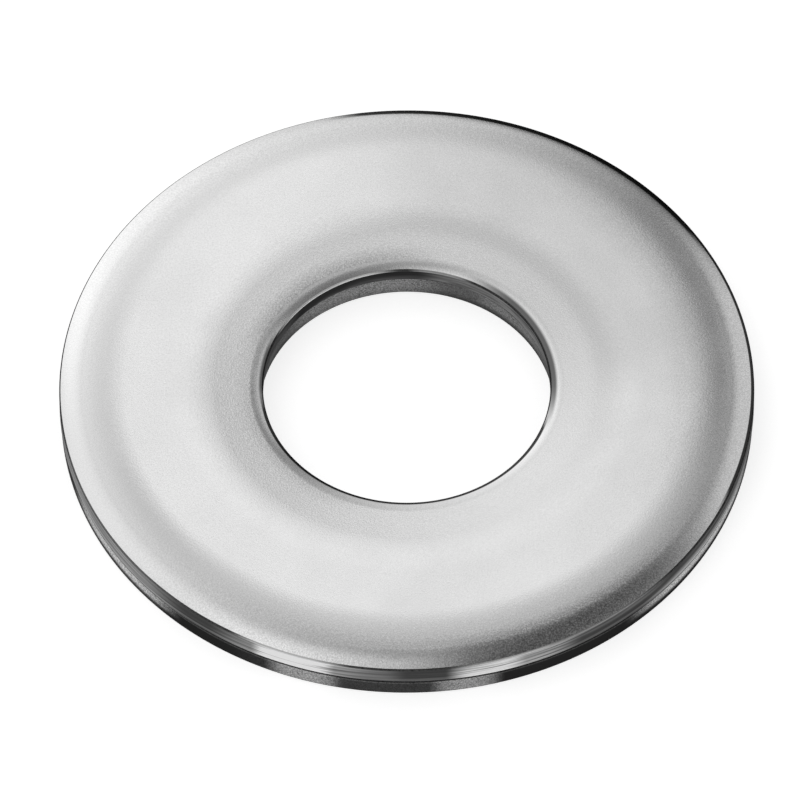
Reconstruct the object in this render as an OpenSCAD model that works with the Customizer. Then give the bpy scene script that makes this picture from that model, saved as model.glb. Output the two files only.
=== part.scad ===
// Flat washer: one flat ring of sheet metal, blanked and pierced in a single stroke and then tumbled.
// The tools enter from above, so each edge has the same story from top to bottom: a wide crown that
// the stroke pulled down, a straight fall, a tighter edge roll, a small round corner, a smooth sheared
// land, a fine break line, a torn band that stands slightly back, and a softened corner at the flat
// underside. The fall is long at the hole and short at the rim.
// The ring lies on z = 0 with its axis on Z. Lengths are in millimetres and angles in degrees.

/* [Blank] */
// Diameter over the rim's sheared land
outer_d = 25.4; // [23:0.1:40]
// Diameter of the hole at its sheared land
hole_d = 10.5; // [8:0.1:12]
// Thickness of the sheet, from the underside to the flat of the top face
thickness = 1.85; // [1.4:0.05:3]

/* [Rim] */
// Width of the crown that leads down from the flat of the top face
rim_crown_w = 1.5; // [1:0.05:2.2]
// Radius of that crown, seen in section
rim_crown_r = 10.2; // [8:0.1:20]
// Width of the straight fall between the crown and the edge roll
rim_fall_w = 0.12; // [0.1:0.02:1]
// Width of the edge roll, which ends at the rim's land
rim_roll_w = 0.8; // [0.4:0.02:1.2]
// Radius of the edge roll, seen in section
rim_roll_r = 3; // [1.5:0.05:6]
// Height from the rim's edge down to its break line
rim_land_h = 0.72; // [0.4:0.02:1]
// How far the torn band stands back from the land at the break line
rim_tear_back = 0.02; // [0.01:0.01:0.08]
// How much farther the torn band leans in by the time it meets the underside
rim_tear_lean = 0.02; // [0.01:0.01:0.1]

/* [Hole] */
// Width of the crown that leads down from the flat of the top face
hole_crown_w = 1.6; // [1:0.05:2.2]
// Radius of that crown, seen in section
hole_crown_r = 18; // [9:0.1:30]
// Width of the straight fall between the crown and the edge roll
hole_fall_w = 1.25; // [0.1:0.05:2]
// Width of the edge roll, which ends at the hole's land
hole_roll_w = 0.52; // [0.3:0.02:0.9]
// Radius of the edge roll, seen in section
hole_roll_r = 1.9; // [1:0.05:6]
// Height from the hole's edge down to its break line
hole_land_h = 0.55; // [0.3:0.02:1]
// How far the hole's torn band stands back from the land at the break line
hole_tear_back = 0.05; // [0.01:0.01:0.08]
// How much wider the torn band opens by the time it meets the underside
hole_tear_lean = 0.1; // [0.01:0.01:0.15]

/* [Edges] */
// Radius of the corner between an edge roll and its land
corner_r = 0.08; // [0.03:0.01:0.2]
// Radius of the fine groove that marks each break line
groove_r = 0.05; // [0.03:0.01:0.08]
// Radius of the tumbled corner at the underside
foot_r = 0.06; // [0.03:0.01:0.1]

/* [Hidden] */

outer_r = outer_d / 2;
hole_r = hole_d / 2;
// How far the cutting shapes reach past the blank
over = 1;
// Each round stands this much proud of what it blends into, so that their lines cross and don't just touch
hair = 0.0001;
arc_fn = 360;
ring_fn = 240;

// Unit vector at a tilt from straight up, towards the edge
function tilted(a) = [sin(a), cos(a)];

// What lies outside a round between two tilts: a wedge from the round's centre, less the round. The
// whole shape is moved outwards by the amount that it stands proud.
module beyond_round(centre, radius, from_tilt, to_tilt, proud) {
    reach = radius + over;
    mid_tilt = (from_tilt + to_tilt) / 2;
    far = reach / cos((to_tilt - from_tilt) / 2);
    translate(centre + proud * tilted(mid_tilt)) difference() {
        polygon([
            [0, 0],
            reach * tilted(from_tilt),
            far * tilted(mid_tilt),
            reach * tilted(to_tilt),
        ]);
        circle(radius, $fn = arc_fn);
    }
}

// All that one edge loses to the stroke and the tumbling. The land is the line x = 0, and the metal
// is on the side of negative x.
module edge_waste(crown_w, crown_r, fall_w, roll_w, roll_r, land_h, tear_back, tear_lean) {
    crown_centre = [-roll_w - fall_w - crown_w, thickness - crown_r];
    crown_tilt = asin(crown_w / crown_r);

    // The fall carries on at the slope that the crown ends with
    downhill = [1, -tan(crown_tilt)];
    fall_start = crown_centre + crown_r * tilted(crown_tilt);
    roll_start = fall_start + fall_w * downhill;

    roll_centre = roll_start - roll_r * tilted(crown_tilt);
    // The edge is where the roll would meet the land if its corner were sharp
    edge_z = roll_centre.y + sqrt(pow(roll_r, 2) - pow(roll_centre.x, 2));

    corner_run = -corner_r - roll_centre.x;
    corner_rise = sqrt(pow(roll_r - corner_r, 2) - pow(corner_run, 2));
    corner_centre = roll_centre + [corner_run, corner_rise];
    corner_tilt = atan2(corner_run, corner_rise);

    break_z = edge_z - land_h;
    lean = atan2(tear_lean, break_z);
    foot_x = -tear_back - tear_lean;
    foot_centre = [foot_x - foot_r * (1 - sin(lean)) / cos(lean), foot_r];

    // The fall's line touches the crown from outside, and each round after it lies inside the one
    // before and takes over where the two touch
    beyond_round(crown_centre, crown_r, 0, crown_tilt, hair);
    polygon([
        fall_start - crown_w * downhill,
        fall_start + (fall_w + roll_w + over) * downhill,
        [over, thickness + over],
        [crown_centre.x, thickness + over],
    ]);
    beyond_round(roll_centre, roll_r, crown_tilt, 90, hair);
    beyond_round(corner_centre, corner_r, corner_tilt, 90, 2 * hair);
    polygon([
        [-tear_back, break_z],
        [over, break_z],
        [over, -over],
        [foot_x - over * tan(lean), -over],
    ]);
    translate([-tear_back / 2, break_z]) circle(groove_r, $fn = arc_fn);
    beyond_round(foot_centre, foot_r, 90 + lean, 180, hair);
}

// The ring's section on one side of the axis, from the hole's wall to the rim's wall
module section() {
    difference() {
        translate([hole_r, 0]) square([outer_r - hole_r, thickness]);
        translate([outer_r, 0])
            edge_waste(rim_crown_w, rim_crown_r, rim_fall_w, rim_roll_w, rim_roll_r,
                       rim_land_h, rim_tear_back, rim_tear_lean);
        translate([hole_r, 0]) mirror([1, 0])
            edge_waste(hole_crown_w, hole_crown_r, hole_fall_w, hole_roll_w, hole_roll_r,
                       hole_land_h, hole_tear_back, hole_tear_lean);
    }
}

module washer() {
    color("silver") rotate_extrude($fn = ring_fn) section();
}

washer();
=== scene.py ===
"""Looks for one flat washer of stainless steel: blanked and pierced from sheet, then tumbled.

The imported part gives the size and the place. A finer turned mesh of the same section stands for it,
because the shape of the satin highlights depends on the smallest rounds of the section.
Lengths in the fields are millimetres and angles are degrees, unless a name says otherwise.
"""

import logging
import math
from dataclasses import dataclass, field, replace
from enum import Enum
from typing import Any

import bpy
import numpy as np
from mathutils import Matrix, Vector


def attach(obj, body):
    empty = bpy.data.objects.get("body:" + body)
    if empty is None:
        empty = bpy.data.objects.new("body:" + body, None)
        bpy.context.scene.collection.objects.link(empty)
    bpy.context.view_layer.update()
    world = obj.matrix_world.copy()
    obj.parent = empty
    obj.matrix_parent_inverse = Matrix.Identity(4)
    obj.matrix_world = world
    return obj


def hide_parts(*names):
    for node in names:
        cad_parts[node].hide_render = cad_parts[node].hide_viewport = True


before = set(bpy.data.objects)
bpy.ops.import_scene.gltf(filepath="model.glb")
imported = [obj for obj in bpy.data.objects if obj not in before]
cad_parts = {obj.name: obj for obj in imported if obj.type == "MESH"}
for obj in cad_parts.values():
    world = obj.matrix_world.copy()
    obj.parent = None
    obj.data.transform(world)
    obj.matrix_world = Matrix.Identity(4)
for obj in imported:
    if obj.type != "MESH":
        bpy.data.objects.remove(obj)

LOG = logging.getLogger("flat_washer")
MM = 0.001
FRAME_WIDTH_PX = 809
FRAME_HEIGHT_PX = 792
SENSOR_MM = 36.0
WASHER_NODE = "washer"
LEVEL = math.pi / 2  # how far a level direction leans from straight up
QUARTER_TURN = 0.25

# How the layers of a noise are mixed
FINE_GRAIN = {"Detail": 2.0, "Roughness": 0.6}
SOFT_RIPPLE = {"Detail": 1.0, "Roughness": 0.4}
BROAD_CLOUD = {"Detail": 3.0, "Roughness": 0.55}
# Nearly all values of a noise lie in this range
NOISE_RANGE = {"From Min": 0.3, "From Max": 0.7}
# The Mix node's sockets for colours, by number, because sockets for other values share their names
MIX_SHARE = 0
MIX_FIRST = 6
MIX_SECOND = 7
MIX_RESULT = 2

Point = tuple[float, float]
Socket = bpy.types.NodeSocket
Tree = bpy.types.NodeTree
Node = bpy.types.Node


def linear(sheet_colour: str) -> tuple[float, float, float, float]:
    """Turns an sRGB hex colour into the linear colour that a shader works with.

    Args:
        sheet_colour: The colour as "#RRGGBB".

    Returns:
        Red, green, blue and an alpha of one, all from 0 to 1.
    """
    channels = [int(sheet_colour[i : i + 2], 16) / 255 for i in (1, 3, 5)]
    turned = [c / 12.92 if c <= 0.04045 else ((c + 0.055) / 1.055) ** 2.4 for c in channels]
    return turned[0], turned[1], turned[2], 1.0


def add_node(tree: Tree, kind: str, sockets: dict[Any, Any], **settings: Any) -> Node:
    """Adds one node, sets it up and links it.

    Args:
        tree: The node tree that gets the node.
        kind: Blender's name of the node type, without its common start.
        sockets: What goes into each input, by name or number: a socket to link, or a value to set.
        settings: Properties of the node, by name.

    Returns:
        The new node.
    """
    node = tree.nodes.new("ShaderNode" + kind)
    for name, value in settings.items():
        setattr(node, name, value)
    for name, value in sockets.items():
        if isinstance(value, Socket):
            tree.links.new(value, node.inputs[name])
        else:
            node.inputs[name].default_value = value
    return node


def new_tree(material: bpy.types.Material) -> tuple[Tree, Node]:
    """Clears a material's nodes.

    Args:
        material: The material to clear.

    Returns:
        Its node tree and a fresh output node.
    """
    material.use_nodes = True
    tree = material.node_tree
    tree.nodes.clear()
    return tree, add_node(tree, "OutputMaterial", {})


def place_in_mm(tree: Tree) -> Socket:
    """Gives the place on the piece in its own millimetres, so that a pattern keeps its real scale."""
    place = add_node(tree, "TexCoord", {}).outputs["Object"]
    return add_node(tree, "VectorMath", {0: place, "Scale": 1 / MM}, operation="SCALE").outputs[0]


def place_round(tree: Tree, place: Socket) -> tuple[Socket, Socket, Socket]:
    """Turns a place into the washer's own round terms.

    Args:
        tree: The material's node tree.
        place: The place on the piece in millimetres.

    Returns:
        The spoke, which is the unit vector out from the axis, the radius and the height.
    """
    flat = add_node(tree, "VectorMath", {0: place, 1: (1.0, 1.0, 0.0)}, operation="MULTIPLY").outputs[0]
    spoke = add_node(tree, "VectorMath", {0: flat}, operation="NORMALIZE").outputs[0]
    radius = add_node(tree, "VectorMath", {0: flat}, operation="LENGTH").outputs["Value"]
    height = add_node(tree, "SeparateXYZ", {0: place}).outputs["Z"]
    return spoke, radius, height


def toward(azimuth: float, elevation: float) -> tuple[float, float, float]:
    """The unit vector to a place in the tent. The azimuth runs from straight behind to the right."""
    a, e = math.radians(azimuth), math.radians(elevation)
    return math.sin(a) * math.cos(e), math.cos(a) * math.cos(e), math.sin(e)


class Zone(Enum):
    """The bands of a stamped washer's surface, each with its own finish, into which light and shade are
    partly painted.
    """

    TUMBLED = 0
    DARK_LINE = 1
    SHEARED_RIM = 2
    TORN_RIM = 3
    HOLE_CORNER = 4
    SHEARED_HOLE = 5
    TORN_HOLE = 6


@dataclass(frozen=True)
class Patch:
    """A stretch of the way round the axis, within one band, that is drawn different: painted shade, a painted
    highlight or stronger grain.

    The heading runs clockwise from +X, seen from above. The band is one of radius on the faces
    and one of height on the upright edges. A limit that isn't given lies beyond the washer.
    """

    heading: float
    half_width: float
    softness: float  # how far the soft border reaches to each side of the half width
    amount: float
    low: float = -10.0
    high: float = 100.0
    fade: float = 0.1  # how wide the soft border of the band is
    high_fade: float | None = None  # the same as fade, if it isn't given

    def share(self, tree: Tree, spoke: Socket, across: Socket) -> Socket:
        """Draws the patch.

        Args:
            tree: The material's node tree.
            spoke: The unit vector out from the axis.
            across: The radius or height that the band is measured in.

        Returns:
            The patch's amount inside it, zero outside, and a soft edge between.
        """
        turn = math.radians(self.heading)
        facing = add_node(
            tree, "VectorMath", {0: spoke, 1: (math.cos(turn), -math.sin(turn), 0.0)}, operation="DOT_PRODUCT"
        ).outputs["Value"]
        outer = math.cos(math.radians(self.half_width + self.softness))
        inner = math.cos(math.radians(max(self.half_width - self.softness, 0.0)))
        high_fade = self.fade if self.high_fade is None else self.high_fade
        edges = (
            (facing, outer, inner),
            (across, self.low - self.fade / 2, self.low + self.fade / 2),
            (across, self.high + high_fade / 2, self.high - high_fade / 2),
        )
        share: Any = self.amount
        for value, outside, inside in edges:
            step = add_node(
                tree,
                "MapRange",
                {"Value": value, "From Min": outside, "From Max": inside},
                interpolation_type="SMOOTHSTEP",
            )
            times = add_node(tree, "Math", {0: step.outputs["Result"], 1: share}, operation="MULTIPLY")
            share = times.outputs[0]
        return share


def patched(tree: Tree, base: Any, patches: tuple[Patch, ...], spoke: Socket, across: Socket) -> Any:
    """Adds patches to an even base.

    Args:
        tree: The material's node tree.
        base: The value where there is no patch.
        patches: What is added.
        spoke: The unit vector out from the axis.
        across: The radius or height that the patches' bands are measured in.

    Returns:
        The sum.
    """
    total: Any = base
    for patch in patches:
        share = patch.share(tree, spoke, across)
        total = add_node(tree, "Math", {0: share, 1: total}, operation="ADD").outputs[0]
    return total


@dataclass(frozen=True)
class TumbledSteel:
    """Stainless sheet, tumbled with small media after stamping.

    The media peen the surface into a fine even grain, which the eye reads as a soft satin:
    highlights are wide, and they sparkle faintly where single dimples catch the light. Painted
    shade is drawn into the colour as dark lines along the edges and as soft shade round the hole
    and on the crown.
    """

    colour: str = "#E9E9E9"
    pit_colour: str = "#DFDFDF"
    # The colour of the painted shade and of the painted dark lines along the edges
    painted_shade_colour: str = "#3A3A3A"
    roughness: float = 0.2
    roughness_spread: float = 0.04
    grain_mm: float = 0.06  # the dimples of fine tumbling media are about this wide
    grain_depth_mm: float = 0.0026
    ripple_mm: float = 0.45  # the sheet's own faint unevenness under the grain
    ripple_depth_mm: float = 0.0006
    patch_mm: float = 3.0  # media hit some places a little more than others
    pit_end: float = 0.25  # the grain's height up to which it has the pits' colour
    plateau_start: float = 0.75  # and from which it has the plateaus'
    # Darkens the pits where the grain shows, and gives the painted shade on one side
    grain_and_shade_tint: str = "#C4C4C4"
    shade_pit_contrast: float = 0.5  # the share by which the painted soft shade is thicker in the pits
    painted_side_shade: tuple[Patch, ...] = (  # painted shade: one side of the flat is drawn darker, where less light falls on it
        Patch(310, 45, 14, 0.3, low=7.0, high=10.9, fade=1.1),
        Patch(335, 60, 45, 0.2, low=7.0, high=10.9, fade=1.1),
    )
    pitted: tuple[Patch, ...] = (  # where the pits are dark enough to show one by one
        Patch(335, 60, 45, 0.03, low=6.9, high=10.6, fade=1.4, high_fade=0.8),
        Patch(30, 90, 60, 0.28, low=11.4, fade=1.6),
        Patch(100, 30, 20, 0.12, low=11.2, fade=1.2),
        Patch(270, 60, 40, 0.2, low=11.4, fade=1.6),
        Patch(200, 110, 50, 0.17, high=6.9, fade=1.4),
        Patch(190, 45, 35, 0.05, low=6.9, high=10.6, fade=1.4, high_fade=0.8),
        Patch(272, 30, 25, 0.05, low=6.9, high=10.6, fade=1.4, high_fade=0.8),
    )
    painted_edge_lines: tuple[Patch, ...] = (  # painted shade and painted dark reflection, drawn as dark lines at the rim and the hole; an amount over one sharpens its border
        Patch(294, 30, 9, 2.2, low=12.47, fade=0.12),
        Patch(346, 34, 10, 2.2, low=12.59, fade=0.05),
        Patch(338, 34, 14, 0.88, high=5.49, fade=0.14),
        Patch(188, 14, 8, 0.85, high=5.4, fade=0.12),
        Patch(95, 72, 10, 2.2, high=5.38, fade=0.06),
    )
    painted_soft_shades: tuple[Patch, ...] = (  # painted soft shade on the crown and round the hole, more of it in the pits
        Patch(61, 15, 12, 0.5, low=11.8, fade=0.8),
        Patch(180, 10, 12, 0.12, low=5.44, high=5.56, fade=0.08),
        Patch(235, 34, 18, 0.34, low=5.68, high=6.05, fade=0.16, high_fade=0.8),
        Patch(150, 30, 20, 0.15, low=5.7, high=6.0, fade=0.16, high_fade=0.6),
        Patch(345, 36, 16, 0.16, low=9.9, high=11.1, fade=1.2),
    )

    def material(self) -> bpy.types.Material:
        """Builds the material.

        Returns:
            The finish, with its grain, its ripple, its painted shade and its painted dark lines.
        """
        made = bpy.data.materials.new("stainless_tumbled_satin")
        tree, out = new_tree(made)
        place = place_in_mm(tree)
        grain = add_node(tree, "TexNoise", {"Vector": place, "Scale": 1 / self.grain_mm, **FINE_GRAIN})
        ripple = add_node(tree, "TexNoise", {"Vector": place, "Scale": 1 / self.ripple_mm, **SOFT_RIPPLE})
        patch = add_node(tree, "TexNoise", {"Vector": place, "Scale": 1 / self.patch_mm, **BROAD_CLOUD})
        rough = add_node(
            tree,
            "MapRange",
            {
                "Value": patch.outputs["Fac"],
                "To Min": self.roughness - self.roughness_spread / 2,
                "To Max": self.roughness + self.roughness_spread / 2,
                **NOISE_RANGE,
            },
        )
        colour = self.colour_over(tree, place, grain.outputs["Fac"])
        low = add_node(tree, "Bump", {"Height": ripple.outputs["Fac"], "Distance": self.ripple_depth_mm * MM})
        bump = add_node(
            tree,
            "Bump",
            {
                "Height": grain.outputs["Fac"],
                "Distance": self.grain_depth_mm * MM,
                "Normal": low.outputs["Normal"],
            },
        )
        steel = add_node(
            tree,
            "BsdfPrincipled",
            {
                "Base Color": colour,
                "Metallic": 1.0,
                "Roughness": rough.outputs["Result"],
                "Normal": bump.outputs["Normal"],
            },
        )
        tree.links.new(steel.outputs[0], out.inputs["Surface"])
        return made

    def colour_over(self, tree: Tree, place: Socket, grain: Socket) -> Socket:
        """Colours the pits darker than the plateaus, and paints shade on one side, soft shade near the edges
        and dark lines along the edges.

        Args:
            tree: The material's node tree.
            place: The place on the piece in millimetres.
            grain: The grain's height, from 0 to 1.

        Returns:
            The colour.
        """
        plateau = add_node(
            tree, "MapRange", {"Value": grain, "From Min": self.pit_end, "From Max": self.plateau_start}
        ).outputs["Result"]
        steel = add_node(
            tree,
            "Mix",
            {MIX_SHARE: plateau, MIX_FIRST: linear(self.pit_colour), MIX_SECOND: linear(self.colour)},
            data_type="RGBA",
        ).outputs[MIX_RESULT]
        # One in the pits and minus one on the plateaus, so that it leaves the mean colour as it is
        in_pits = add_node(
            tree, "MapRange", {"Value": grain, "To Min": 1.0, "To Max": -1.0, **NOISE_RANGE}
        ).outputs["Result"]
        spoke, radius, _ = place_round(tree, place)
        pitted = patched(tree, 0.0, self.pitted, spoke, radius)
        painted_side_shade = patched(tree, 0.0, self.painted_side_shade, spoke, radius)
        share = add_node(tree, "Math", {0: pitted, 1: in_pits, 2: painted_side_shade}, operation="MULTIPLY_ADD").outputs[0]
        # The pits darkened, and one side darkened as painted shade
        pitted_and_shaded = add_node(
            tree,
            "Mix",
            {MIX_SHARE: share, MIX_FIRST: steel, MIX_SECOND: linear(self.grain_and_shade_tint)},
            data_type="RGBA",
            blend_type="MULTIPLY",
            clamp_factor=False,
        ).outputs[MIX_RESULT]
        # Painted shade: soft shade on the crown and round the hole, and dark lines along the edges
        painted_soft_shades = patched(tree, 0.0, self.painted_soft_shades, spoke, radius)
        painted_edge_lines = patched(tree, painted_soft_shades, self.painted_edge_lines, spoke, radius)
        speckle = add_node(tree, "Math", {0: in_pits, 1: self.shade_pit_contrast}, operation="MULTIPLY")
        painted_shade_share = add_node(
            tree, "Math", {0: painted_soft_shades, 1: speckle.outputs[0], 2: painted_edge_lines}, operation="MULTIPLY_ADD"
        ).outputs[0]
        return add_node(
            tree,
            "Mix",
            {MIX_SHARE: painted_shade_share, MIX_FIRST: pitted_and_shaded, MIX_SECOND: linear(self.painted_shade_colour)},
            data_type="RGBA",
        ).outputs[MIX_RESULT]


@dataclass(frozen=True)
class DarkLine:
    """The tight corners and the break lines, which the tumbling media can't reach.

    Their shade is painted: a dark colour draws each of them as a fine black line along the
    edge. In some stretches a painted highlight makes the corner bright instead.
    """

    name: str
    painted_shade_colour: str = "#303030"
    # The colour of the painted highlights, and the colour that the faint specks go towards
    highlight_and_speck_colour: str = "#E4E4E4"
    glancing_tint: str = "#101010"  # the painted shade stays dark also where it is seen at a low angle
    roughness: float = 0.4
    grain_mm: float = 0.06
    speck_low: float = 0.35  # the grain's height from which bright specks show
    speck_high: float = 0.75
    speck_share: float = 0.08  # how far the strongest speck goes towards the rubbed colour
    # Painted highlights: the stretches where a corner is drawn bright
    painted_highlights: tuple[Patch, ...] = ()

    def material(self) -> bpy.types.Material:
        """Builds the material.

        Returns:
            The finish, with its faint specks, its painted shade and its painted highlights.
        """
        made = bpy.data.materials.new(self.name)
        tree, out = new_tree(made)
        place = place_in_mm(tree)
        spoke, _, height = place_round(tree, place)
        grain = add_node(tree, "TexNoise", {"Vector": place, "Scale": 1 / self.grain_mm, **FINE_GRAIN})
        speck = add_node(
            tree,
            "MapRange",
            {
                "Value": grain.outputs["Fac"],
                "From Min": self.speck_low,
                "From Max": self.speck_high,
                "To Max": self.speck_share,
            },
        )
        painted_highlights = patched(tree, 0.0, self.painted_highlights, spoke, height)
        share = add_node(tree, "Math", {0: painted_highlights, 1: speck.outputs["Result"]}, operation="ADD").outputs[0]
        colour = add_node(
            tree,
            "Mix",
            {MIX_SHARE: share, MIX_FIRST: linear(self.painted_shade_colour), MIX_SECOND: linear(self.highlight_and_speck_colour)},
            data_type="RGBA",
        )
        steel = add_node(
            tree,
            "BsdfPrincipled",
            {
                "Base Color": colour.outputs[MIX_RESULT],
                "Metallic": 1.0,
                "Specular Tint": linear(self.glancing_tint),
                "Roughness": self.roughness,
            },
        )
        tree.links.new(steel.outputs[0], out.inputs["Surface"])
        return made


@dataclass(frozen=True)
class EdgeSteel:
    """What the two bands of a stamped edge share: dark skin, and bright stretches over it.

    Each band draws a pattern of its own, which breaks up the painted highlights and is the bump too.
    Marks too fine to draw run round the axis, so that light spreads up and down.
    """

    name: str
    # The dark colour: painted shade, and on the torn band partly its own dullness
    painted_shade_colour: str
    painted_highlight_colour: str
    base: float  # the painted highlight's share where there is no patch
    # Painted highlights: the stretches drawn bright
    patches: tuple[Patch, ...]
    stretch: float  # how strongly the light spreads up and down
    pattern_mm: float
    depth_mm: float
    contrast: float
    glancing_tint: str = "#B0B0B0"  # the painted shade stays dark also where it is seen at a low angle
    roughness: float = 0.5

    def pattern(self, tree: Tree, place: Socket, spoke: Socket, height: Socket) -> Socket:
        """Draws the band's pattern and gives its height, from 0 to 1."""
        raise NotImplementedError

    def material(self) -> bpy.types.Material:
        """Builds the material.

        Returns:
            The finish, with its pattern, its painted shade and its painted highlights.
        """
        made = bpy.data.materials.new(self.name)
        tree, out = new_tree(made)
        place = place_in_mm(tree)
        spoke, _, height = place_round(tree, place)
        pattern = self.pattern(tree, place, spoke, height)
        tone = add_node(
            tree,
            "MapRange",
            {"Value": pattern, "To Min": 1 - self.contrast, "To Max": 1 + self.contrast, **NOISE_RANGE},
        ).outputs["Result"]
        painted_highlight_share = patched(tree, self.base, self.patches, spoke, height)
        share = add_node(tree, "Math", {0: painted_highlight_share, 1: tone}, operation="MULTIPLY").outputs[0]
        colour = add_node(
            tree,
            "Mix",
            {MIX_SHARE: share, MIX_FIRST: linear(self.painted_shade_colour), MIX_SECOND: linear(self.painted_highlight_colour)},
            data_type="RGBA",
        )
        bump = add_node(tree, "Bump", {"Height": pattern, "Distance": self.depth_mm * MM})
        tangent = add_node(tree, "Tangent", {}, direction_type="RADIAL", axis="Z")
        steel = add_node(
            tree,
            "BsdfPrincipled",
            {
                "Base Color": colour.outputs[MIX_RESULT],
                "Metallic": 1.0,
                "Specular Tint": linear(self.glancing_tint),
                "Roughness": self.roughness,
                "Anisotropic": self.stretch,
                "Anisotropic Rotation": QUARTER_TURN,
                "Normal": bump.outputs["Normal"],
                "Tangent": tangent.outputs[0],
            },
        )
        tree.links.new(steel.outputs[0], out.inputs["Surface"])
        return made


@dataclass(frozen=True)
class ShearedSteel(EdgeSteel):
    """The land: steel that the tool's edge wiped while it cut.

    Fine lines run round it. Its dark colour is painted shade, and painted highlights brighten
    some stretches, so that the land flashes from near black to white on the way round.
    """

    stretch: float = 0.8
    pattern_mm: float = 0.07  # drawn a little coarser than the real lines, so that they show
    depth_mm: float = 0.0012
    contrast: float = 0.7
    turns_of_tone: float = 3.0  # how often a line changes its tone in one radian round the axis

    def pattern(self, tree: Tree, place: Socket, spoke: Socket, height: Socket) -> Socket:
        """Draws the fine lines: a noise that changes fast with height and slowly round the axis.

        Args:
            tree: The material's node tree.
            place: The place on the piece in millimetres, which the lines don't need.
            spoke: The unit vector out from the axis.
            height: The height in millimetres.

        Returns:
            The lines' height, from 0 to 1.
        """
        turn = add_node(tree, "VectorMath", {0: spoke, "Scale": self.turns_of_tone}, operation="SCALE")
        step = add_node(tree, "Math", {0: height, 1: self.pattern_mm}, operation="DIVIDE")
        lift = add_node(tree, "CombineXYZ", {"Z": step.outputs[0]})
        along = add_node(tree, "VectorMath", {0: turn.outputs[0], 1: lift.outputs[0]}, operation="ADD")
        lines = add_node(tree, "TexNoise", {"Vector": along.outputs[0], "Scale": 1.0, **FINE_GRAIN})
        return lines.outputs["Fac"]


@dataclass(frozen=True)
class TornSteel(EdgeSteel):
    """The torn band: metal that broke away below the land instead of being cut.

    It is dull and finely granular. Its dark colour is partly that dullness and partly painted
    shade, and painted highlights brighten some stretches of it.
    """

    stretch: float = 0.6
    pattern_mm: float = 0.05
    depth_mm: float = 0.003
    contrast: float = 0.8

    def pattern(self, tree: Tree, place: Socket, spoke: Socket, height: Socket) -> Socket:
        """Draws the grains: a fine noise, which is the same in all directions."""
        grain = add_node(tree, "TexNoise", {"Vector": place, "Scale": 1 / self.pattern_mm, **FINE_GRAIN})
        return grain.outputs["Fac"]


@dataclass(frozen=True)
class SectionPoint:
    """One point of the section: its place across and up, its normal's tilt and its zone.

    The zone is that of the faces between this point and the next one.
    """

    across: float
    up: float
    tilt: float
    zone: Zone


def leaning(tilt: float) -> np.ndarray:
    """The unit vector that leans outward from straight up by a tilt in radians."""
    return np.array([math.sin(tilt), math.cos(tilt)])


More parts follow.
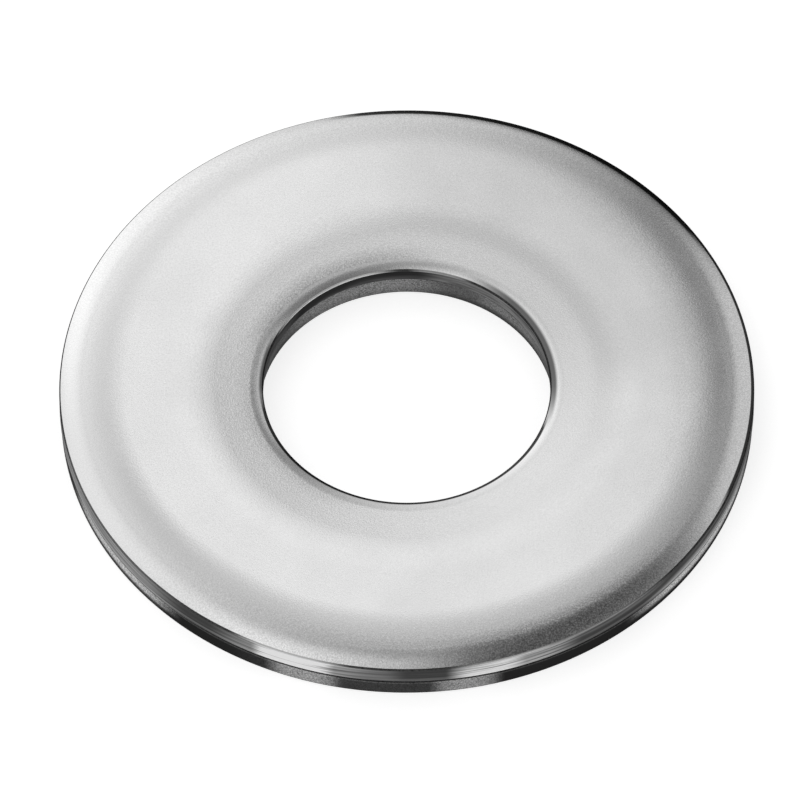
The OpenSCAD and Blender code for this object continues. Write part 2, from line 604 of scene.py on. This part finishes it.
@dataclass
class StampedEdge:
    """The section of one stamped edge, from the flat top to the flat underside.

    Distances across are measured outward from the land, so they are negative in the metal.
    A name that ends in _w is a width across, in _h a height, and in _r the radius of a round.
    """

    thickness: float
    crown_w: float
    crown_r: float
    fall_w: float
    roll_w: float
    roll_r: float
    land_h: float
    tear_back: float  # how far the torn band stands back at the break line
    tear_lean: float  # and how much further it stands back at the foot
    land: Zone
    torn: Zone
    corner: Zone = Zone.DARK_LINE
    corner_r: float = 0.08
    groove_r: float = 0.05
    foot_r: float = 0.06
    # How many points stand for each part, both ends included
    crown_points: int = 14
    fall_points: int = 3
    roll_points: int = 14
    corner_points: int = 9
    wall_points: int = 8
    groove_points: int = 9
    foot_points: int = 7

    def arc(
        self, centre: np.ndarray, radius: float, tilts: Point, count: int, zone: Zone
    ) -> list[SectionPoint]:
        """Points along a round, both ends included.

        Args:
            centre: The round's centre, across and up.
            radius: Its radius.
            tilts: The first and the last point's lean from straight up, in radians.
            count: How many points.
            zone: The band that the faces after these points belong to.

        Returns:
            The points in order.
        """
        made = []
        for tilt in np.linspace(*tilts, count):
            across, up = centre + radius * leaning(tilt)
            made.append(SectionPoint(across, up, tilt, zone))
        return made

    def straight(self, start: Point, end: Point, tilt: float, count: int, zone: Zone) -> list[SectionPoint]:
        """Points along a straight part, both ends included, which share one normal."""
        steps = zip(np.linspace(start[0], end[0], count), np.linspace(start[1], end[1], count))
        return [SectionPoint(across, up, tilt, zone) for across, up in steps]

    def points(self) -> list[SectionPoint]:
        """Walks the whole edge from the top's flat to the underside's flat.

        Returns:
            The points in order.
        """
        crown_tilt = math.asin(self.crown_w / self.crown_r)
        crown_centre = np.array([-self.roll_w - self.fall_w - self.crown_w, self.thickness - self.crown_r])
        fall_start = crown_centre + self.crown_r * leaning(crown_tilt)
        roll_start = fall_start + self.fall_w * np.array([1, -math.tan(crown_tilt)])
        roll_centre = roll_start - self.roll_r * leaning(crown_tilt)
        edge_up = roll_centre[1] + math.sqrt(self.roll_r**2 - roll_centre[0] ** 2)

        corner_run = -self.corner_r - roll_centre[0]
        corner_rise = math.sqrt((self.roll_r - self.corner_r) ** 2 - corner_run**2)
        corner_centre = roll_centre + np.array([corner_run, corner_rise])
        corner_tilt = math.atan2(corner_run, corner_rise)

        to_roll = (crown_tilt, corner_tilt)
        to_land = (corner_tilt, LEVEL)
        fall_ends = (tuple(fall_start), tuple(roll_start))
        walk = self.arc(crown_centre, self.crown_r, (0, crown_tilt), self.crown_points, Zone.TUMBLED)
        walk += self.straight(*fall_ends, crown_tilt, self.fall_points, Zone.TUMBLED)
        walk += self.arc(roll_centre, self.roll_r, to_roll, self.roll_points, Zone.TUMBLED)
        walk += self.arc(corner_centre, self.corner_r, to_land, self.corner_points, self.corner)
        return walk + self.wall(corner_centre[1], edge_up - self.land_h)

    def wall(self, land_top: float, break_up: float) -> list[SectionPoint]:
        """Walks the upright part of the edge.

        Args:
            land_top: The height at which the land starts.
            break_up: The height of the break line.

        Returns:
            The points of the land, the groove that marks the break line, the torn band and the foot.
        """
        lean = math.atan2(self.tear_lean, break_up)
        groove = np.array([-self.tear_back / 2, break_up])
        foot_across = -self.tear_back - self.tear_lean
        foot_inset = self.foot_r * (1 - math.sin(lean)) / math.cos(lean)
        foot_centre = np.array([foot_across - foot_inset, self.foot_r])
        foot_top = foot_centre + self.foot_r * leaning(LEVEL + lean)

        enter = math.asin(self.tear_back / 2 / self.groove_r)
        land_low = break_up + self.groove_r * math.cos(enter)
        torn_across = -self.tear_back - self.groove_r * math.sin(lean)
        leave = math.pi - math.asin((torn_across - groove[0]) / self.groove_r)
        torn_up = break_up + self.groove_r * math.cos(leave)

        walk = self.straight((0.0, land_top), (0.0, land_low), LEVEL, self.wall_points, self.land)
        for turn in np.linspace(enter, leave - 2 * math.pi, self.groove_points):
            across, up = groove + self.groove_r * leaning(turn)
            walk.append(SectionPoint(across, up, turn + math.pi, Zone.DARK_LINE))
        torn_ends = ((torn_across, torn_up), tuple(foot_top))
        to_underside = (LEVEL + lean, math.pi)
        walk += self.straight(*torn_ends, LEVEL + lean, self.wall_points, self.torn)
        walk += self.arc(foot_centre, self.foot_r, to_underside, self.foot_points, Zone.DARK_LINE)
        walk[-1] = replace(walk[-1], zone=Zone.TUMBLED)  # the flat underside starts at the last point
        return walk


@dataclass
class Washer:
    """The one-piece flat washer, turned from its stamped section."""

    outer_d: float = 25.4
    hole_d: float = 10.5
    thickness: float = 1.85
    steps_round: int = 480
    smallest_step: float = 0.00001  # points of the section that are closer than this become one
    rim: StampedEdge = field(init=False)
    hole: StampedEdge = field(init=False)

    def __post_init__(self) -> None:
        """Sets out the two edges: the blanked rim and the pierced hole."""
        self.rim = StampedEdge(
            thickness=self.thickness,
            crown_w=1.5,
            crown_r=10.2,
            fall_w=0.12,
            roll_w=0.8,
            roll_r=3.0,
            land_h=0.72,
            tear_back=0.02,
            tear_lean=0.02,
            land=Zone.SHEARED_RIM,
            torn=Zone.TORN_RIM,
        )
        self.hole = StampedEdge(
            thickness=self.thickness,
            crown_w=1.6,
            crown_r=18.0,
            fall_w=1.25,
            roll_w=0.52,
            roll_r=1.9,
            land_h=0.55,
            tear_back=0.05,
            tear_lean=0.1,
            land=Zone.SHEARED_HOLE,
            torn=Zone.TORN_HOLE,
            corner=Zone.HOLE_CORNER,
        )

    def loop(self) -> list[SectionPoint]:
        """Joins the two edges to the closed section: out along the top, down the rim and back.

        Returns:
            The points in order, with their distance from the axis as the place across.
        """
        outward = [replace(p, across=self.outer_d / 2 + p.across) for p in self.rim.points()]
        inward = [replace(p, across=self.hole_d / 2 - p.across, tilt=-p.tilt) for p in self.hole.points()]
        inward.reverse()
        # The hole's edge is walked backwards, so each point takes the zone of the point after it
        zones = [p.zone for p in inward[1:]] + [Zone.TUMBLED]
        inward = [replace(p, zone=zone) for p, zone in zip(inward, zones)]

        kept: list[SectionPoint] = []
        for point in outward + inward:
            last = kept[-1] if kept else None
            if last and math.hypot(point.across - last.across, point.up - last.up) < self.smallest_step:
                kept[-1] = replace(last, zone=point.zone)
            else:
                kept.append(point)
        return kept

    def build(self) -> bpy.types.Object:
        """Turns the section into the washer's mesh, with exact normals and a zone on each face.

        Returns:
            The washer, without its finishes.
        """
        rows = self.loop()
        steps = self.steps_round
        turns = np.arange(steps) * 2 * math.pi / steps
        spokes = np.stack([np.cos(turns), np.sin(turns)], -1)
        places, normals = [], []
        for row in rows:
            places.append(np.column_stack([row.across * spokes, np.full(steps, row.up)]))
            normals.append(np.column_stack([math.sin(row.tilt) * spokes, np.full(steps, math.cos(row.tilt))]))
        first = np.arange(len(rows) * steps).reshape(len(rows), steps)
        after = np.roll(first, -1, axis=1)
        faces = np.stack([first, np.roll(first, -1, axis=0), np.roll(after, -1, axis=0), after], -1)

        mesh = bpy.data.meshes.new("washer_turned")
        mesh.from_pydata((np.concatenate(places) * MM).tolist(), [], faces.reshape(-1, 4).tolist())
        zones = np.repeat([row.zone.value for row in rows], steps).astype(np.int32)
        mesh.polygons.foreach_set("material_index", zones)
        mesh.polygons.foreach_set("use_smooth", np.ones(len(zones), bool))
        mesh.update()
        mesh.normals_split_custom_set_from_vertices(np.concatenate(normals).tolist())
        made = bpy.data.objects.new("washer_steel", mesh)
        bpy.context.scene.collection.objects.link(made)
        return made

    def dress(self, piece: bpy.types.Object) -> None:
        """Gives each zone of the surface its finish, in the order of the zones.

        Args:
            piece: The washer.
        """
        finishes = {
            Zone.TUMBLED: TumbledSteel(),
            Zone.DARK_LINE: DarkLine(
                "stainless_dark_line",
                # Painted highlights on the rim's corner and along the break line
                painted_highlights=(
                    Patch(62, 13, 8, 0.3, low=1.3),
                    Patch(74, 6, 4, 0.35, low=1.3),
                    Patch(110, 4, 7, 0.7, low=1.3),
                    Patch(150, 14, 10, 0.12, low=1.3),
                    Patch(32, 12, 8, 0.4, low=0.6, high=0.95),
                    Patch(147, 14, 8, 0.3, low=0.6, high=0.95),
                ),
            ),
            Zone.SHEARED_RIM: ShearedSteel(
                "stainless_sheared_rim",
                painted_shade_colour="#3C3C3C",
                painted_highlight_colour="#F0F0F0",
                base=0.03,
                # Painted highlights and painted reflections on the land of the rim
                patches=(
                    Patch(77, 3.5, 3.5, 0.6),
                    Patch(72, 3, 9, 0.34),
                    Patch(109.3, 2, 5.5, 1.2),
                    Patch(110, 4, 11, 0.22),
                    Patch(99, 4, 5, 0.16),
                    Patch(54, 9, 6, 0.12, low=1.2, fade=0.3),
                    Patch(153, 17, 7, 0.27),
                    Patch(21, 14, 8, 0.06),
                    Patch(28, 14, 7, 0.32, high=1.0, fade=0.4),
                    Patch(90, 76, 12, 0.08, high=0.96, fade=0.04),
                    Patch(236, 20, 12, 0.3),
                    Patch(303, 12, 7, 0.55),
                ),
            ),
            Zone.TORN_RIM: TornSteel(
                "stainless_torn_rim",
                painted_shade_colour="#282828",
                painted_highlight_colour="#E0E0E0",
                base=0.004,
                # Painted highlights on the torn band of the rim
                patches=(
                    Patch(31, 13, 8, 0.85, low=0.34, fade=0.3),
                    Patch(80.3, 2.5, 4, 0.38),
                    Patch(107.5, 2.5, 4.5, 0.42),
                    Patch(90, 60, 12, 0.07, low=0.62, fade=0.04),
                    Patch(98, 14, 10, 0.045),
                    Patch(147, 8, 9, 0.7, low=0.3, fade=0.24),
                    Patch(147, 10, 6, 0.06),
                    Patch(230, 22, 9, 0.5, low=0.2, fade=0.2),
                    Patch(312, 15, 8, 0.4, low=0.2, fade=0.2),
                ),
            ),
            # Painted highlights where the hole's corner is drawn bright
            Zone.HOLE_CORNER: DarkLine(
                "stainless_hole_corner", painted_highlights=(Patch(236, 24, 8, 0.9), Patch(284, 8, 6, 0.4))
            ),
            Zone.SHEARED_HOLE: ShearedSteel(
                "stainless_sheared_hole",
                painted_shade_colour="#262626",
                painted_highlight_colour="#D0D0D0",
                base=0.02,
                # Painted highlights on the land of the hole
                patches=(
                    Patch(316, 32, 10, 0.27),
                    Patch(200, 16, 8, 0.08),
                    Patch(258, 26, 12, 0.17, high=1.1, fade=0.5),
                    Patch(90, 40, 20, 0.3),
                ),
            ),
            Zone.TORN_HOLE: TornSteel(
                "stainless_torn_hole",
                painted_shade_colour="#3C3C3C",
                painted_highlight_colour="#D8D8D8",
                contrast=1.0,
                base=0.04,
                # Painted highlights on the torn band of the hole
                patches=(
                    Patch(250, 26, 12, 0.18),
                    Patch(318, 14, 8, 0.14, low=0.35, fade=0.4),
                    Patch(270, 110, 30, 0.09, low=0.3, fade=0.4),
                    Patch(90, 40, 20, 0.3),
                ),
            ),
        }
        for zone in Zone:
            piece.data.materials.append(finishes[zone].material())


@dataclass(frozen=True)
class Panel:
    """A round soft light of the tent, or a dark flag where its strength is below zero.

    Its reach is the angle from its middle to its border, which is soft to each side by its softness.
    """

    name: str
    azimuth: float
    elevation: float
    reach: float
    softness: float
    strength: float

    def shape(self, tree: Tree, seen: Socket) -> Socket:
        """Draws the panel on the tent: one inside it, zero outside, and a soft edge between.

        Args:
            tree: The cloth's node tree.
            seen: The direction in which the cloth is looked at.

        Returns:
            The panel's share of its strength.
        """
        middle = toward(self.azimuth, self.elevation)
        facing = add_node(tree, "VectorMath", {0: seen, 1: middle}, operation="DOT_PRODUCT")
        return add_node(
            tree,
            "MapRange",
            {
                "Value": facing.outputs["Value"],
                "From Min": math.cos(math.radians(self.reach + self.softness)),
                "From Max": math.cos(math.radians(max(self.reach - self.softness, 0.0))),
            },
            interpolation_type="SMOOTHSTEP",
            label=self.name,
        ).outputs["Result"]


@dataclass
class LightTent:
    """A round cloth tent with soft lights behind it and flags in front of it."""

    radius: float = 450.0
    segments: int = 96
    rings: int = 48
    ambient: float = 0.13  # the strength of the cloth between the lights
    darkest: float = 0.02  # what a flag leaves of it at least
    lights: tuple[Panel, ...] = (
        Panel("mirror_box", 1, 51.5, 5.8, 4.5, 0.79),
        Panel("high_box", 11, 63.5, 9.5, 3, 0.41),
        Panel("left_wall", -82, 23, 57, 22, 0.61),
        Panel("left_box", -52, 52, 17, 11, 0.25),
        Panel("back_left_box", -15, 21, 23, 12, 0.63),
        Panel("top_left_box", -131, 74, 14.5, 7.5, 0.38),
        Panel("right_box", 48.5, 35.5, 20.5, 5.7, 0.55),
        Panel("right_wall", 114, 30.5, 33, 11, 0.31),
        Panel("top_right_box", 62, 73, 13, 6.5, 0.05),
        Panel("back_flag", 18, -5, 24, 4, -0.86),
        Panel("front_wall", 175, 14, 40, 12, 0.42),
        # Under the floor: the floor blocks it, so it lights the underside only if the floor is taken away
        Panel("below_box", 0, -90, 65, 10, 0.65),
    )

    def build(self) -> bpy.types.Object:
        """Makes the dome that stands for the tent. The camera looks through it.

        Returns:
            The dome.
        """
        bpy.ops.mesh.primitive_uv_sphere_add(
            segments=self.segments, ring_count=self.rings, radius=self.radius * MM
        )
        dome = bpy.context.object
        dome.name = "light_tent"
        dome.visible_camera = False
        dome.visible_shadow = False
        return dome

    def dress(self, dome: bpy.types.Object) -> None:
        """Lights the cloth: an even base, each light added, and each flag taken away.

        Args:
            dome: The tent's dome.
        """
        cloth = bpy.data.materials.new("tent_cloth_lit")
        tree, out = new_tree(cloth)
        place = add_node(tree, "TexCoord", {})
        seen = add_node(tree, "VectorMath", {0: place.outputs["Object"]}, operation="NORMALIZE").outputs[0]
        total: Any = self.ambient
        for light in self.lights:
            share = light.shape(tree, seen)
            added = add_node(
                tree, "Math", {0: share, 1: light.strength, 2: total}, operation="MULTIPLY_ADD"
            )
            total = added.outputs[0]
        lit = add_node(tree, "Math", {0: total, 1: self.darkest}, operation="MAXIMUM")
        glow = add_node(tree, "Emission", {"Strength": lit.outputs[0]})
        tree.links.new(glow.outputs[0], out.inputs["Surface"])
        cloth.cycles.emission_sampling = "NONE"
        dome.data.materials.append(cloth)


@dataclass
class Studio:
    """The pale floor, the white surroundings and the tent of soft light."""

    floor_radius: float = 440.0
    floor_sides: int = 128
    floor_gap: float = 0.01  # a hair under the washer, so that the two never share a plane
    floor_colour: str = "#C8C8C8"
    floor_lift: float = 0.75  # what the eye sees added to the lit card, so that it reads as white
    fade_start: float = 25.0  # how far out the floor starts to pass into white
    fade_end: float = 90.0
    tent: LightTent = field(default_factory=LightTent)

    def build(self) -> None:
        """Builds and dresses all that stands round the washer."""
        self.tent.dress(self.tent.build())
        self.floor()
        self.surroundings()

    def floor(self) -> None:
        """A plain pale floor. Far from the washer it passes into the white of the surroundings."""
        bpy.ops.mesh.primitive_circle_add(
            vertices=self.floor_sides,
            radius=self.floor_radius * MM,
            fill_type="NGON",
            location=(0.0, 0.0, -self.floor_gap * MM),
        )
        ground = bpy.context.object
        ground.name = "floor"
        card = bpy.data.materials.new("floor_card_matt")
        tree, out = new_tree(card)
        shown = self.shown_to(tree)
        lift = add_node(tree, "Math", {0: shown, 1: self.floor_lift}, operation="MULTIPLY")
        matt = add_node(tree, "BsdfDiffuse", {"Color": linear(self.floor_colour)})
        lifted = add_node(tree, "Emission", {"Strength": lift.outputs[0]})
        near = add_node(tree, "AddShader", {0: matt.outputs[0], 1: lifted.outputs[0]})

        away = add_node(tree, "VectorMath", {0: place_in_mm(tree)}, operation="LENGTH")
        far = add_node(
            tree,
            "MapRange",
            {"Value": away.outputs["Value"], "From Min": self.fade_start, "From Max": self.fade_end},
            interpolation_type="SMOOTHSTEP",
        )
        share = add_node(tree, "Math", {0: far.outputs["Result"], 1: shown}, operation="MULTIPLY")
        white = add_node(tree, "Emission", {"Strength": 1.0})
        both = add_node(tree, "MixShader", {0: share.outputs[0], 1: near.outputs[0], 2: white.outputs[0]})
        tree.links.new(both.outputs[0], out.inputs["Surface"])
        ground.data.materials.append(card)

    @staticmethod
    def shown_to(tree: Tree) -> Socket:
        """Tells the rays that show a surface to the eye from the rays that carry light.

        Args:
            tree: The node tree of the surface that is shown.

        Returns:
            One for rays from the camera, off gloss or through glass, and zero for all others.
        """
        ray = add_node(tree, "LightPath", {})
        shown = ray.outputs["Is Camera Ray"]
        for kind in ("Is Glossy Ray", "Is Transmission Ray"):
            shown = add_node(tree, "Math", {0: shown, 1: ray.outputs[kind]}, operation="MAXIMUM").outputs[0]
        return shown

    def surroundings(self) -> None:
        """White beyond the floor for the eye, and for gloss; it adds no light."""
        world = bpy.data.worlds.new("studio")
        bpy.context.scene.world = world
        world.use_nodes = True
        tree = world.node_tree
        tree.nodes.clear()
        sky = add_node(tree, "Background", {"Color": (1.0, 1.0, 1.0, 1.0), "Strength": self.shown_to(tree)})
        add_node(tree, "OutputWorld", {"Surface": sky.outputs[0]})


@dataclass
class Viewpoint:
    """The camera: a long lens, high in front, that sees the washer as the photograph does."""

    distance: float = 600.0
    elevation: float = 53.77
    px_per_mm: float = 27.312
    origin_px: Point = (406.77, 410.73)  # the middle of the washer's underside in the photograph
    roll: float = 0.256

    def build(self) -> bpy.types.Object:
        """Places the camera, aims it and makes it the scene's camera.

        Returns:
            The camera.
        """
        e = math.radians(self.elevation)
        back = Vector((0.0, -math.cos(e), math.sin(e)))
        right = Vector((1.0, 0.0, 0.0))
        up = Vector((0.0, math.sin(e), math.cos(e)))
        aside = (FRAME_WIDTH_PX / 2 - self.origin_px[0]) / self.px_per_mm
        above = (self.origin_px[1] - FRAME_HEIGHT_PX / 2) / self.px_per_mm
        lens = bpy.data.cameras.new("camera")
        lens.sensor_width = SENSOR_MM
        lens.lens = self.px_per_mm * self.distance * SENSOR_MM / FRAME_WIDTH_PX
        camera = bpy.data.objects.new("camera", lens)
        bpy.context.scene.collection.objects.link(camera)
        aimed = Matrix((right, up, back)).transposed().to_4x4()
        rolled = aimed @ Matrix.Rotation(-math.radians(self.roll), 4, "Z")
        place = (back * self.distance + right * aside + up * above) * MM
        camera.matrix_world = Matrix.Translation(place) @ rolled
        bpy.context.scene.camera = camera
        return camera


def main() -> None:
    """Builds the washer, the studio and the camera."""
    logging.basicConfig(level=logging.INFO, format="%(message)s")
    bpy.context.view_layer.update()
    bpy.context.scene.view_settings.view_transform = "Standard"

    washer = Washer()
    steel = washer.build()
    washer.dress(steel)
    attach(steel, "root")
    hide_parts(WASHER_NODE)
    LOG.info("washer: %d faces, %d finishes", len(steel.data.polygons), len(steel.data.materials))

    Studio().build()
    LOG.info("studio: floor, tent and surroundings")
    camera = Viewpoint().build()
    LOG.info("camera: %.0f mm lens", camera.data.lens)


if __name__ == "__main__":
    main()
